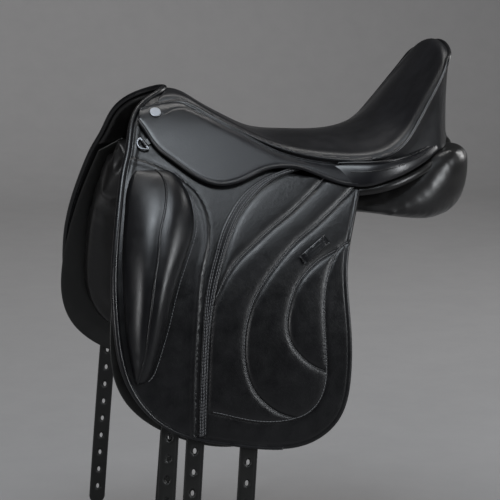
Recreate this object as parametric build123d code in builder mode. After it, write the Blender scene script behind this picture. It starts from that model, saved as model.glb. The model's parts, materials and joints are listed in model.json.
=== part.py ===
from build123d import *
import os

os.makedirs("parts", exist_ok=True)

# An english saddle of the dressage type, in millimetres. The horse faces -X, so the near (left)
# side is -Y, the off side is +Y and +Z is up. The origin lies on the centre plane, under the
# deepest part of the seat and level with the underside of the panels beside the channel.
# Outlines are drawn from the seat's datum, seat_height above the origin and 3 mm above that part.
# Every leather layer follows one curve, the side line, which is the outer face of the flap seen
# from the front, so a layer is placed by its distance from that face: outwards is positive.

# Driving dimensions
seat_height = 95.0
flap_faces = (-5.0, 0.0)
skirt_faces = (3.5, 7.5)
strap_faces = (-10.0, -6.2)
sweat_flap_faces = (-14.6, -11.4)
head_lining_faces = (-11.2, -5.6)
panel_face = -16.0

cover_thickness = 2.5
foam_faces = (-17.5, -3.0)
foam_margin = 11.0
foam_span = (-175, 240)
web_faces = (-19.6, -18.0)
web_margin = 14.0
tree_faces = (-30.0, -20.0)
tree_margin = 18.0
piping_faces = (-5.0, -0.5)
piping_reach = (0.3, 4.0)
piping_span = (-200, 80)
binding_faces = (-4.5, 1.5)
binding_reach = (0.3, 3.5)
binding_span = (80.4, 240)
facing_faces = (-200, -3.2)
facing_reach = (-4.0, 0.0)
facing_span = (101, 240)
facing_top = 180
cantle_skirt_reach = (0.4, 3.6)

long_webs = [(10, -24), (10, 24)]
long_web_size = (250, 30)
cross_webs = [(-30, 0), (60, 0)]
cross_web_size = (38, 230)
web_span = (-120, 140)

channel_half_width = 32.0
strap_width = 25.0
strap_hole_pitch = 28.2
strap_hole_count = 9
strap_hole_size = (4.5, 7.5)
strap_lean = 0.065

# How far sketches on the ground and on the centre plane are extruded, past every piece
ground_level = -100
ground_depth = 400
side_depth = 300
saddle_span = (-310, 260)
seat_span = (-230, 240)

bar_rod_radius = 4.0
catch_pin_radius = 1.5
running_clearance = 0.05
rivet_radius = 2.5

# The side line: half width and height, from the crest of the head down to the strap tips
side_line_points = [
    (0.5, 62.5), (22, 57.5), (41, 47), (62, 30), (100, -12), (139, -62), (178, -122), (201, -170),
    (219, -225), (229, -280), (239, -360), (245, -440), (250, -540), (252, -700),
]  # fmt: skip

# The seat: place along X, half width, height of the edge and height of the centre line
seat_stations = [
    (-212, 44, 42, 52), (-174, 48, 48, 59.5), (-140, 65, 34, 44), (-100, 86, 13, 22),
    (-50, 106, -9, 1.5), (0, 119, -22, -2.5), (50, 128, -27, -3), (90, 132, -25, 3),
    (122, 126, -12, 18), (150, 113, 18, 46), (175, 100, 54, 77), (198, 87, 89, 106),
    (213, 62, 108, 120), (228, 40, 116, 124),
]  # fmt: skip

# The seat seen from above: place along X and half width, from the head round to the cantle
seat_plan_points = [
    (-205, 46), (-174, 48), (-156, 55), (-128, 72), (-90, 90), (-51, 106), (-11, 117), (29, 125),
    (70, 131.5), (98, 132), (123, 126), (155, 110), (180, 97), (201, 83), (216, 54), (222, 0),
]  # fmt: skip
seat_notch_x = -176.0

# Outlines seen from the near side, as (X, height over the seat's datum)
flap_edge = [
    (-263.5, -36), (-283, -111), (-292, -170), (-293, -212), (-280, -296), (-253, -339),
    (-211, -369), (-158, -384), (-97, -395), (-35, -392), (7, -362), (24, -309), (26, -231),
    (28, -160), (45.5, -105.5),
]  # fmt: skip
flap_front_edge = [(-263, -33), (-254, -12), (-242, 24), (-228, 41), (-212, 51), (-191, 60)]
flap_top_rear = [
    (-187, 60), (-207, 50), (-219, 36), (-223, 5), (-213, -22), (-180, -36), (-140, -40), (-60, -42),
    (20, -53), (54, -60), (59, -72), (47, -101.5),
]  # fmt: skip
head_lining_front = [(-258, -30), (-250, -12), (-238, 22), (-226, 36), (-208, 46), (-189, 55)]
head_lining_rear = [(-186, 55), (-206, 42), (-215, 22), (-219, 0), (-218, -28)]
skirt_lobe_edge = [
    (-235.5, 10.5), (-227, -3), (-200, -25), (-166, -48), (-141, -57), (-109, -54), (-72, -40),
    (-46.5, -38.4),
]  # fmt: skip
skirt_seam_edge = [
    (-236.5, 13.4), (-236, 28), (-228, 37), (-214, 39), (-192, 42), (-174, 43), (-158, 36),
    (-128, 20), (-90, 0), (-51, -20), (-11, -32), (29, -38), (70, -40), (99, -38),
]  # fmt: skip
skirt_lower_edge = [
    (99, -52), (84, -56), (66, -61), (44, -62), (17, -55), (-3, -47), (-23, -40), (-44.5, -36.4),
]  # fmt: skip
cantle_skirt_edge = [
    (100, -34), (123, -22), (155, -15), (190, -8), (222, 4), (222, -16), (190, -26), (155, -34),
    (123, -45), (100, -52),
]  # fmt: skip
cantle_facing_foot = [(101, -48), (123, -42), (155, -32), (190, -24), (226, -12)]
sweat_flap_edge = [
    (-258, -40), (-277, -111), (-291, -180), (-298, -235), (-296, -285), (-283, -320), (-256, -350),
    (-208, -377), (-158, -391), (-110, -390), (-50, -368), (-6, -330), (6, -250), (8, -160), (14, -100),
]  # fmt: skip
sweat_flap_top = [(14, -66), (-60, -50), (-150, -44), (-225, -20)]
panel_edge = [
    (-246, -8), (-258, -60), (-270, -130), (-274, -200), (-270, -265), (-250, -310), (-205, -343),
    (-140, -356), (-70, -350), (-22, -325), (-6, -270), (-6, -190), (8, -130), (40, -104),
    (100, -106), (158, -109), (203, -104), (229, -92), (242, -70), (245, -48), (240, -26),
]  # fmt: skip
panel_top = [(222, -24), (190, -33), (155, -41), (123, -52), (108, -56)]
panel_seat_side = ((104, -20), (-234, -2))
panel_foot = (206, -420)
panel_horse_side = [(190, -320), (172, -240), (146, -178), (114, -130), (82, -108), (50, -98)]
panel_channel_foot = -84
panel_seat_faces = (-31.5, 60)
pocket_faces = (-36.5, -10)
panel_plan_points = [(62, 158), (110, 146), (155, 130), (200, 104), (232, 74), (246, 48)]
point_pocket = [(-330, 60), (-330, -40), (-212, -40), (-212, -100), (-150, -100), (-150, -52),
                (-60, -52), (-60, 60)]  # fmt: skip
tunnel_front = (-300, [(2, -150), (-84, -150), (-62, -50), (-36, 10), (2, 10)])
tunnel_rear = (-50, [(2, -110), (-33, -110), (-32.5, -50), (-32, 10), (2, 10)])

# The knee block: height, then X of its front, ridge and rear, and how far its ridge stands out
knee_block_sections = [
    (-53, -256, -228, -200, 6), (-65, -264, -217, -179, 20), (-100, -273, -227, -175, 29),
    (-145, -280, -240, -192, 31), (-195, -283, -247, -213, 27), (-245, -278, -256, -231, 18),
    (-277, -273, -261, -243, 11), (-294, -270, -265, -253, 4),
]  # fmt: skip
knee_block_ridge_width = 10.0
knee_block_faces = (0.2, 60)

strip_outer = [(-96, -75), (-140, -95), (-162, -153), (-176, -247), (-187, -372)]
strip_inner = [(-177, -372), (-171, -273), (-157, -172), (-133, -106), (-88, -78)]
strip_faces = (0.2, 1.6)
keeper_centre = (-16.5, -139)
keeper_size = (46, 11)
keeper_angle = 38.0

# Girth straps: X at strap_datum, height of the first hole and the joint under it
strap_datum = -372.0
straps = {"front": (-223.5, -372.5), "middle": (-188.6, -393.0), "rear": (-115.3, -413.0)}
off_straps = ("front", "rear")
strap_start = -64.0
strap_tip = 32.0
strap_fold_above = 2.3
strap_fold_below = 0.6
girth_web_edge = [(-216, -40), (-84, -46), (-84, -62), (-216, -62)]


def side_plane(half_width=0.0):
    """Looks at the near side: X to the right and height up, from the seat's datum."""
    return Plane(origin=(0, -half_width, seat_height), x_dir=(1, 0, 0), z_dir=(0, -1, 0))


def front_plane(x):
    """A section across the saddle at x, with Y to the right and height up."""
    return Plane(origin=(x, 0, seat_height), x_dir=(0, 1, 0), z_dir=(1, 0, 0))


side_line = Spline(*[(-half, height) for half, height in side_line_points])
seat_rim = Spline(
    *[(x, -half) for x, half in seat_plan_points],
    *[(x, half) for x, half in reversed(seat_plan_points[:-1])],
)


def side_line_at(height, shift=0.0):
    """Y and height of the near side line's point at a height, moved outwards by shift."""
    low, high = 0.0, 1.0
    for _ in range(40):
        middle = (low + high) / 2
        if (side_line @ middle).Y > height:
            low = middle
        else:
            high = middle
    tangent = side_line % low
    point = side_line @ low
    return point.X + tangent.Y * shift, point.Y - tangent.X * shift


def outward_at(height):
    """The near side's outward direction at a height, in the row's frame."""
    here = side_line_at(height)
    out = side_line_at(height, 1.0)
    return Vector(0, out[0] - here[0], out[1] - here[1])


def on_side(x, height, shift=0.0):
    """The point of the near side at x and height on the side line, moved outwards by shift."""
    y, z = side_line_at(height, shift)
    return Vector(x, y, z + seat_height)


def beside(curve, shift, steps, last=1.0):
    """Points beside a curve, moved to its right by shift, from its start to the place last."""
    points = []
    for step in range(steps + 1):
        tangent = curve % (last * step / steps)
        point = curve @ (last * step / steps)
        points.append((point.X + tangent.Y * shift, point.Y - tangent.X * shift))
    return points


def layer(faces, last=1.0):
    """A near-side layer of leather between two distances from the flap's outer face."""
    inner, outer = faces
    outer_points = [(min(y, -0.5), z) for y, z in beside(side_line, outer, 26, last)]
    inner_points = [(min(y, -0.5), z) for y, z in beside(side_line, inner, 26, last)]
    with BuildPart() as band:
        with BuildSketch(front_plane(saddle_span[0])):
            with BuildLine():
                Spline(*outer_points)
                Line(outer_points[-1], inner_points[-1])
                Spline(*reversed(inner_points))
                Line(inner_points[0], outer_points[0])
            make_face()
        extrude(amount=saddle_span[1] - saddle_span[0])
    return band.part


def straight(points):
    """The straight edges of a polygon, for cut_by_outline."""
    return list(zip(points, points[1:] + points[:1]))


def cut_by_outline(solid, *curves):
    """The part of a near-side solid that lies inside a closed outline seen from the side.

    Each curve is a list of points: two points make a straight line and more make a smooth curve.
    """
    with BuildPart() as piece:
        add(solid)
        with BuildSketch(side_plane()):
            with BuildLine():
                for points, following in straight(curves):
                    if len(points) > 2:
                        Spline(*points)
                    else:
                        Line(*points)
                    if points[-1] != following[0]:
                        Line(points[-1], following[0])
            make_face()
        extrude(amount=side_depth, mode=Mode.INTERSECT)
    return piece.part


def seat_layer(faces, spread=8.0):
    """A layer of the seat between two heights from its surface, wider than the seat by spread."""
    lower, upper = faces
    with BuildPart() as slab:
        for x, half, edge, centre in seat_stations:
            reach = half + spread
            rim = centre - (centre - edge) * (reach / half) ** 2
            with BuildSketch(front_plane(x)):
                with BuildLine():
                    ThreePointArc((-reach, rim + upper), (0, centre + upper), (reach, rim + upper))
                    Line((reach, rim + upper), (reach, rim + lower))
                    ThreePointArc((reach, rim + lower), (0, centre + lower), (-reach, rim + lower))
                    Line((-reach, rim + lower), (-reach, rim + upper))
                make_face()
        loft()
    return slab.part


def seat_plan(margin=0.0):
    """The seat's outline from above, drawn on the ground, grown by margin."""
    rim = beside(seat_rim, margin, 40)
    notch = (seat_notch_x - margin, 0)
    with BuildSketch(Plane.XY) as outline:
        with BuildLine():
            Spline(*rim)
            Line(rim[-1], notch)
            Line(notch, rim[0])
        make_face()
    return outline.sketch


def seat_piece(faces, margin, span=seat_span):
    """A layer of the seat, cut to the seat's plan less a margin, between two places along X."""
    with BuildPart() as piece:
        add(seat_layer(faces))
        with BuildSketch(Plane.XY.offset(ground_level)):
            add(seat_plan(-margin))
        extrude(amount=ground_depth, mode=Mode.INTERSECT)
        with BuildSketch(Plane.XY.offset(ground_level)):
            with Locations((sum(span) / 2, 0)):
                Rectangle(span[1] - span[0], ground_depth)
        extrude(amount=ground_depth, mode=Mode.INTERSECT)
    return piece.part


def seat_edging(faces, reach, span):
    """A strip round the seat's edge, between two distances outside its plan."""
    with BuildPart() as strip:
        add(seat_layer(faces))
        with BuildSketch(Plane.XY.offset(ground_level)):
            add(seat_plan(reach[1]))
        extrude(amount=ground_depth, mode=Mode.INTERSECT)
        with BuildSketch(Plane.XY.offset(ground_level)):
            add(seat_plan(reach[0]))
        extrude(amount=ground_depth, mode=Mode.SUBTRACT)
        with BuildSketch(Plane.XY.offset(ground_level)):
            with Locations((sum(span) / 2, 0)):
                Rectangle(span[1] - span[0], ground_depth)
        extrude(amount=ground_depth, mode=Mode.INTERSECT)
    return strip.part


def write(part, label):
    part.label = label
    export_step(part, f"parts/{label}.step")


def write_pair(part, label):
    """Writes a near-side piece and its mirror image on the off side."""
    write(part, f"near_{label}")
    write(mirror(part, about=Plane.XZ), f"off_{label}")


def surface_plane(x, height, shift=0.0, x_dir=(1, 0, 0)):
    """A plane that touches the near side at x and height, facing outwards."""
    return Plane(origin=on_side(x, height, shift), x_dir=x_dir, z_dir=outward_at(height))


# Seat: cover, foam, webs, piping and the cantle's binding
write(seat_piece((-cover_thickness, 0), 0), "seat_cover")
write(seat_piece(foam_faces, foam_margin, foam_span), "seat_foam")
write(seat_edging(piping_faces, piping_reach, piping_span), "seat_piping")
write(seat_edging(binding_faces, binding_reach, binding_span), "cantle_binding")

with BuildPart() as seat_webs:
    add(seat_piece(web_faces, web_margin, web_span))
    with BuildSketch(Plane.XY.offset(ground_level)):
        with Locations(*long_webs):
            Rectangle(*long_web_size)
        with Locations(*cross_webs):
            Rectangle(*cross_web_size)
    extrude(amount=ground_depth, mode=Mode.INTERSECT)
write(seat_webs.part, "seat_webs")

with BuildPart() as cantle_facing:
    add(seat_edging(facing_faces, facing_reach, facing_span))
    with BuildSketch(side_plane(200)):
        with BuildLine():
            Spline(*cantle_facing_foot)
            Polyline(cantle_facing_foot[-1], (226, facing_top), (101, facing_top), cantle_facing_foot[0])
        make_face()
    extrude(amount=-400, mode=Mode.INTERSECT)
write(cantle_facing.part, "cantle_facing")

# Tree: a shell with an opening under the seat, and a lip on each side that ends in the points
tree_opening = [(-112, 0), (-80, 20), (-20, 44), (40, 62), (90, 66), (120, 44), (128, 0)]
tree_lip_edge = [
    (-202, 44), (-204, 10), (-204, -40), (-200, -84), (-186, -92), (-172, -84), (-164, -50),
    (-140, -44), (-90, -40), (-70, -26), (-72, -2), (-110, 4), (-150, 14), (-168, 44),
]  # fmt: skip

# The stirrup bar's own plane touches the flap's outer face: x runs back, y up and z out
bar_plane = surface_plane(-130, -20)
bar_plate_centre = (-6, 0)
bar_plate_size = (70, 22)
bar_plate_corner = 6
bar_plate_faces = (-19.6, -15.6)
bar_arm_centre = (-35, -2)
bar_arm_size = (9, 9)
bar_arm_corner = 2
bar_rod_axis = (-2.0, -5.5)
bar_rod_ends = (-38.0, 44.0)
bar_lap_start = 30.0
catch_pivot = 38.0
catch_start = 34.0
catch_end = 60.0
catch_back = -5.6
bar_rivets = [(-26, 4), (-6, 4), (14, 4)]
rivet_foot = -32.5
rivet_length = 18.5
rivet_head = (4.5, 1.8)
rivet_tail = (4.0, 1.6)
catch_pin_foot = -9.0
catch_pin_length = 7.0

with BuildPart() as near_lip:
    add(cut_by_outline(layer(tree_faces, last=0.6), tree_lip_edge))
    add(seat_layer((tree_faces[1], 80), spread=40), mode=Mode.SUBTRACT)

with BuildPart() as near_rivet_holes:
    with BuildSketch(bar_plane.offset(-40)):
        with Locations(*bar_rivets):
            Circle(rivet_radius)
    extrude(amount=30)

with BuildPart() as tree:
    add(seat_piece(tree_faces, tree_margin))
    with BuildSketch(Plane.XY.offset(ground_level)):
        with BuildLine():
            Spline(*tree_opening, *[(x, -y) for x, y in tree_opening[-2:0:-1]], tree_opening[0])
        make_face()
    extrude(amount=ground_depth, mode=Mode.SUBTRACT)
    add(near_lip.part)
    add(mirror(near_lip.part, about=Plane.XZ))
    add(near_rivet_holes.part, mode=Mode.SUBTRACT)
    add(mirror(near_rivet_holes.part, about=Plane.XZ), mode=Mode.SUBTRACT)
write(tree.part, "tree")


head_arch_heights = (-62, -24, 8)
head_plate_shifts = (-31.5, -35.5)
head_plate_crowns = (21, 17)
head_plate_x = -192.0
head_plate_width = 18.0


def head_arch(shift, crown):
    """Points of an arch under the head, from foot to foot, inside the side line by shift."""
    near = [side_line_at(height, shift) for height in head_arch_heights]
    off = [(-y, z) for y, z in reversed(near)]
    return [*near, (0, crown), *off]


with BuildPart() as head_plate:
    with BuildSketch(front_plane(head_plate_x)):
        outer_arch = head_arch(head_plate_shifts[0], head_plate_crowns[0])
        inner_arch = head_arch(head_plate_shifts[1], head_plate_crowns[1])
        with BuildLine():
            Spline(*outer_arch)
            Line(outer_arch[-1], inner_arch[-1])
            Spline(*reversed(inner_arch))
            Line(inner_arch[0], outer_arch[0])
        make_face()
    extrude(amount=head_plate_width)
write(head_plate.part, "head_plate")

with BuildPart() as head_lining:
    near_lining = cut_by_outline(layer(head_lining_faces, last=0.6), head_lining_front, head_lining_rear)
    add(near_lining)
    add(mirror(near_lining, about=Plane.XZ))
write(head_lining.part, "head_lining")

# Stirrup bar: plate, arm and rod, with a half lap at its end for the safety catch
rod_origin = bar_plane.from_local_coords((bar_rod_ends[0], *bar_rod_axis))
rod_plane = Plane(origin=rod_origin, x_dir=bar_plane.y_dir, z_dir=(1, 0, 0))

with BuildPart() as stirrup_bar:
    with BuildSketch(bar_plane.offset(bar_plate_faces[0])):
        with Locations(bar_plate_centre):
            RectangleRounded(*bar_plate_size, bar_plate_corner)
        with Locations(*bar_rivets):
            Circle(rivet_radius, mode=Mode.SUBTRACT)
    extrude(amount=bar_plate_faces[1] - bar_plate_faces[0])
    with BuildSketch(bar_plane.offset(bar_plate_faces[1] - 0.5)):
        with Locations(bar_arm_centre):
            RectangleRounded(*bar_arm_size, bar_arm_corner)
    extrude(amount=bar_rod_axis[1] + 3.0 - bar_plate_faces[1] + 0.5)
    with BuildSketch(rod_plane):
        Circle(bar_rod_radius)
    extrude(amount=bar_rod_ends[1] - bar_rod_ends[0])
    with BuildSketch(bar_plane.offset(catch_back - 0.2)):
        with Locations((bar_lap_start + 10, bar_rod_axis[0])):
            Rectangle(20, 14)
    extrude(amount=10, mode=Mode.SUBTRACT)
    with BuildSketch(bar_plane.offset(-12)):
        with Locations((catch_pivot, bar_rod_axis[0])):
            Circle(catch_pin_radius)
    extrude(amount=14, mode=Mode.SUBTRACT)
write_pair(stirrup_bar.part, "stirrup_bar")

with BuildPart() as bar_catch:
    with BuildSketch(rod_plane.offset(catch_start - bar_rod_ends[0])):
        Circle(bar_rod_radius - 0.1)
    extrude(amount=catch_end - catch_start)
    with BuildSketch(bar_plane.offset(catch_back - 10)):
        with Locations((catch_end - 20, bar_rod_axis[0])):
            Rectangle(60, 20)
    extrude(amount=10, mode=Mode.SUBTRACT)
    with BuildSketch(bar_plane.offset(catch_back - 1)):
        with Locations((catch_pivot, bar_rod_axis[0])):
            Circle(catch_pin_radius + running_clearance)
    extrude(amount=10, mode=Mode.SUBTRACT)
write_pair(bar_catch.part, "bar_catch")

with BuildPart() as catch_pin:
    with BuildSketch(bar_plane.offset(catch_pin_foot)):
        with Locations((catch_pivot, bar_rod_axis[0])):
            Circle(catch_pin_radius)
    extrude(amount=catch_pin_length)
write_pair(catch_pin.part, "catch_pin")

with BuildPart() as bar_rivet_set:
    with BuildSketch(bar_plane.offset(rivet_foot)):
        with Locations(*bar_rivets):
            Circle(rivet_radius)
    extrude(amount=rivet_length)
    with BuildSketch(bar_plane.offset(bar_plate_faces[1])):
        with Locations(*bar_rivets):
            Circle(rivet_head[0])
    extrude(amount=rivet_head[1])
    with BuildSketch(bar_plane.offset(rivet_foot)):
        with Locations(*bar_rivets):
            Circle(rivet_tail[0])
    extrude(amount=rivet_tail[1])
write_pair(bar_rivet_set.part, "bar_rivets")

# Skirts: a fixed part along the seat's seam, and a lobe that lifts over the stirrup bar
button_radius = 8.0
button_height = 2.4
button_edge_radius = 1.2
button_shank_radius = 3.0
button_shank_length = 7.0
button_plane = surface_plane(-210, 28, skirt_faces[1])

with BuildPart() as skirt:
    add(cut_by_outline(layer(skirt_faces, last=0.6), skirt_seam_edge, skirt_lower_edge))
    with BuildSketch(button_plane.offset(1)):
        Circle(button_shank_radius)
    extrude(amount=-8, mode=Mode.SUBTRACT)
write_pair(skirt.part, "skirt")

write_pair(cut_by_outline(layer(skirt_faces, last=0.6), skirt_lobe_edge), "skirt_lobe")

with BuildPart() as cantle_skirt:
    with BuildSketch(Plane.XY.offset(ground_level)):
        add(seat_plan(cantle_skirt_reach[1]))
        add(seat_plan(cantle_skirt_reach[0]), mode=Mode.SUBTRACT)
    extrude(amount=ground_depth)
    with BuildSketch(side_plane()):
        with BuildLine():
            Spline(*cantle_skirt_edge[:5])
            Line(cantle_skirt_edge[4], cantle_skirt_edge[5])
            Spline(*cantle_skirt_edge[5:])
            Line(cantle_skirt_edge[-1], cantle_skirt_edge[0])
        make_face()
    extrude(amount=side_depth, mode=Mode.INTERSECT)
write_pair(cantle_skirt.part, "cantle_skirt")

with BuildPart() as skirt_button:
    with BuildSketch(button_plane.offset(0.1)):
        Circle(button_radius)
    extrude(amount=button_height)
    button_face = skirt_button.faces().sort_by(Axis(button_plane.origin, button_plane.z_dir))[-1]
    fillet(button_face.edges(), button_edge_radius)
    with BuildSketch(button_plane.offset(0.1)):
        Circle(button_shank_radius)
    extrude(amount=-button_shank_length)
write_pair(skirt_button.part, "skirt_button")

# D-ring in front of the skirt, on a leather tab that comes out from under the skirt's edge
ring_radius = 9.6
ring_wire_radius = 1.4
ring_height = 3.0
tab_width = 9.0
tab_radius = 2.7
tab_length = 15.0
tab_thickness = 2.6
ring_along = bar_plane.x_dir * 0.483 - bar_plane.y_dir * 0.876
ring_plane = surface_plane(-230.5, -6, ring_height, x_dir=ring_along)
ring_section_plane = Plane(origin=ring_plane.from_local_coords((ring_radius, 0, 0)),
                           x_dir=ring_plane.x_dir, z_dir=ring_plane.y_dir)  # fmt: skip

with BuildPart() as d_ring:
    with BuildSketch(ring_section_plane):
        Circle(ring_wire_radius)
    revolve(axis=Axis(ring_plane.origin, ring_plane.z_dir), revolution_arc=-180)
    with BuildSketch(Plane(origin=ring_plane.from_local_coords((-ring_radius, 0, 0)),
                           x_dir=ring_plane.y_dir, z_dir=ring_plane.x_dir)):  # fmt: skip
        Circle(ring_wire_radius)
    extrude(amount=2 * ring_radius)
write_pair(d_ring.part, "d_ring")

with BuildPart() as d_ring_tab:
    with BuildSketch(Plane(origin=ring_plane.from_local_coords((-tab_width / 2, 0, 0)),
                           x_dir=ring_plane.y_dir, z_dir=ring_plane.x_dir)):  # fmt: skip
        Circle(tab_radius)
        with Locations((tab_length / 2, 1.6 - ring_height)):
            Rectangle(tab_length, tab_thickness)
        Circle(ring_wire_radius + running_clearance, mode=Mode.SUBTRACT)
    extrude(amount=tab_width)
write_pair(d_ring_tab.part, "d_ring_tab")

# Flaps: a fixed top, and the flap proper, which folds up along a straight line under the skirt
write_pair(cut_by_outline(layer(flap_faces, last=0.6), flap_front_edge, flap_top_rear), "flap_top")
write_pair(cut_by_outline(layer(flap_faces), flap_edge), "flap")
write_pair(cut_by_outline(layer(strip_faces), strip_outer, strip_inner), "flap_strip")

with BuildPart() as knee_block:
    for height, front, ridge, rear, stands_out in knee_block_sections:
        base_y = side_line_at(height)[0] + 3
        ridge_y = side_line_at(height)[0] - stands_out
        half_ridge = knee_block_ridge_width / 2
        with BuildSketch(Plane.XY.offset(seat_height + height)):
            with BuildLine():
                Polyline((front, base_y), (ridge - half_ridge, ridge_y), (ridge + half_ridge, ridge_y),
                         (rear, base_y), close=True)  # fmt: skip
            make_face()
    loft()
    add(layer(knee_block_faces), mode=Mode.INTERSECT)
write_pair(knee_block.part, "knee_block")

keeper_faces = (0.3, 6.0)
keeper_slot_faces = (-1.0, 3.6)
keeper_sewn_length = 7.0

with BuildPart() as keeper_slot:
    add(layer(keeper_slot_faces))
    with BuildSketch(side_plane()):
        with Locations(Location((*keeper_centre, 0), keeper_angle)):
            Rectangle(keeper_size[0] - 2 * keeper_sewn_length, keeper_size[1] + 4)
    extrude(amount=side_depth, mode=Mode.INTERSECT)

with BuildPart() as keeper:
    add(layer(keeper_faces))
    with BuildSketch(side_plane()):
        with Locations(Location((*keeper_centre, 0), keeper_angle)):
            Rectangle(*keeper_size)
    extrude(amount=side_depth, mode=Mode.INTERSECT)
    add(keeper_slot.part, mode=Mode.SUBTRACT)
write_pair(keeper.part, "keeper")

# Sweat flaps and panels
write_pair(cut_by_outline(layer(sweat_flap_faces), sweat_flap_edge, sweat_flap_top), "sweat_flap")

with BuildPart() as tunnel:
    for tunnel_x, tunnel_corners in (tunnel_front, tunnel_rear):
        with BuildSketch(front_plane(tunnel_x)):
            with BuildLine():
                Polyline(*tunnel_corners, close=True)
            make_face()
    loft(ruled=True)

with BuildPart() as panel:
    outer_line = beside(side_line, panel_face, 40)
    outer_line = [point for point in outer_line if -390 < point[1] < -2]
    with BuildSketch(front_plane(-310)):
        with BuildLine():
            Spline(*outer_line)
            foot = (-panel_foot[0], outer_line[-1][1])
            Line(outer_line[-1], foot)
            Spline(foot, *[(-half, height) for half, height in panel_horse_side])
            Polyline((-panel_horse_side[-1][0], panel_horse_side[-1][1]),
                     (-channel_half_width, panel_channel_foot),
                     (-channel_half_width, outer_line[0][1]), outer_line[0])  # fmt: skip
        make_face()
    extrude(amount=570)
    with BuildSketch(side_plane()):
        with BuildLine():
            Spline(*panel_edge)
            Line(panel_edge[-1], panel_top[0])
            Spline(*panel_top)
            Polyline(panel_top[-1], *panel_seat_side, panel_edge[0])
        make_face()
    extrude(amount=side_depth, mode=Mode.INTERSECT)
    with BuildSketch(Plane.XY.offset(-400)):
        with BuildLine():
            Polyline((246, 0), (-320, 0), (-320, -240), (60, -240), (62, -158))
            Spline(*[(x, -half) for x, half in panel_plan_points])
            Line((246, -48), (246, 0))
        make_face()
    extrude(amount=700, mode=Mode.INTERSECT)
    add(seat_layer(panel_seat_faces, spread=40), mode=Mode.SUBTRACT)
    add(cut_by_outline(layer(pocket_faces, last=0.6), *straight(point_pocket)), mode=Mode.SUBTRACT)
    add(tunnel.part, mode=Mode.SUBTRACT)
write_pair(panel.part, "panel")

# Girth straps: the upper ends under the flap, then the free ends, which swing at a fold
def strap_centre(x_at_datum, height):
    return x_at_datum + strap_lean * (height - strap_datum)


def strap_outline(x_at_datum, top, bottom):
    half = strap_width / 2
    top_x = strap_centre(x_at_datum, top)
    bottom_x = strap_centre(x_at_datum, bottom)
    return [(top_x - half, top), (bottom_x - half, bottom), (bottom_x + half, bottom), (top_x + half, top)]


def strap_piece(x_at_datum, top, bottom, holes, pointed):
    """A length of girth strap between two heights, with holes at the heights given."""
    with BuildPart() as strap:
        add(layer(strap_faces))
        with BuildSketch(side_plane()):
            with BuildLine():
                Polyline(*strap_outline(x_at_datum, top, bottom), close=True)
            make_face()
            if pointed:
                tip_x = strap_centre(x_at_datum, bottom)
                with Locations((tip_x, bottom)):
                    Ellipse(strap_width / 2, strap_tip / 2.5)
            for height in holes:
                with Locations((strap_centre(x_at_datum, height), height)):
                    Ellipse(strap_hole_size[0] / 2, strap_hole_size[1] / 2, mode=Mode.SUBTRACT)
        extrude(amount=side_depth, mode=Mode.INTERSECT)
    return strap.part


near_strap_tops, off_strap_tops = [], []
for strap_name, (strap_x, first_hole) in straps.items():
    fold = first_hole - strap_hole_pitch / 2
    strap_top = strap_piece(strap_x, strap_start, fold + strap_fold_above, [first_hole], False)
    free_holes = [first_hole - strap_hole_pitch * count for count in range(1, strap_hole_count)]
    free_end = free_holes[-1] - strap_tip / 2
    free_strap = strap_piece(strap_x, fold - strap_fold_below, free_end, free_holes, True)
    near_strap_tops.append(strap_top)
    write(free_strap, f"near_{strap_name}_strap")
    if strap_name in off_straps:
        off_strap_tops.append(mirror(strap_top, about=Plane.XZ))
        write(mirror(free_strap, about=Plane.XZ), f"off_{strap_name}_strap")

write(Compound(near_strap_tops), "near_strap_tops")
write(Compound(off_strap_tops), "off_strap_tops")
write_pair(cut_by_outline(layer(strap_faces, last=0.6), *straight(girth_web_edge)), "girth_web")
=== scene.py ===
import json
import math
import bpy
import numpy as np
from mathutils import Matrix, Vector
from mathutils.geometry import delaunay_2d_cdt


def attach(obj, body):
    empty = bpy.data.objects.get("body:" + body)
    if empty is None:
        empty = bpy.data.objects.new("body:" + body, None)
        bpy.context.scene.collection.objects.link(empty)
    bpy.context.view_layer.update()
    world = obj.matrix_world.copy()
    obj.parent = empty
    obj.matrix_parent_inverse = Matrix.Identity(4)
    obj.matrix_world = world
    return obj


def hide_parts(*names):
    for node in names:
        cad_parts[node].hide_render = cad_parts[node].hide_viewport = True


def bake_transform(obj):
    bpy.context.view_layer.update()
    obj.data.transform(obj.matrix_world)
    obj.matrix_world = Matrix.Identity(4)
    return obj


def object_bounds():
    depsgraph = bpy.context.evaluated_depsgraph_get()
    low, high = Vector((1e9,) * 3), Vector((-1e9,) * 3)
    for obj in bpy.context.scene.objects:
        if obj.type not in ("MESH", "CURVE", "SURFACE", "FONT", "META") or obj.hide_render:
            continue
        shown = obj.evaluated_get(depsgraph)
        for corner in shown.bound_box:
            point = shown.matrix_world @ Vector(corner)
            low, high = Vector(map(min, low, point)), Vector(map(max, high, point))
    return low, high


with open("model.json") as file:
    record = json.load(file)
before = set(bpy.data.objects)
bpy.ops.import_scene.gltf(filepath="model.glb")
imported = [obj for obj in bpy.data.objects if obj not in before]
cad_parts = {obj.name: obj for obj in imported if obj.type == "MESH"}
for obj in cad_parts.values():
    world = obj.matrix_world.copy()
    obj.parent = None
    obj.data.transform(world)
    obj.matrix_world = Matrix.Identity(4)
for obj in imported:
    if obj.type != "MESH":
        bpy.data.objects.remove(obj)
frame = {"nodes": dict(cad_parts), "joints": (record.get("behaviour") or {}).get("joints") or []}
cad_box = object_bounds()

# The looks of a black dressage saddle. The horse faces -X and the near (left) side is -Y.
# Outlines are in millimetres: X and the height over the seat's datum, as the CAD outlines are,
# and a leather layer is placed by its distance from the flap's outer face.
MM = 0.001
SEAT_HEIGHT = 95.0
JOINTS = {joint["name"]: joint for joint in frame["joints"]}
SIDES = (("near", 1.0), ("off", -1.0))

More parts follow.
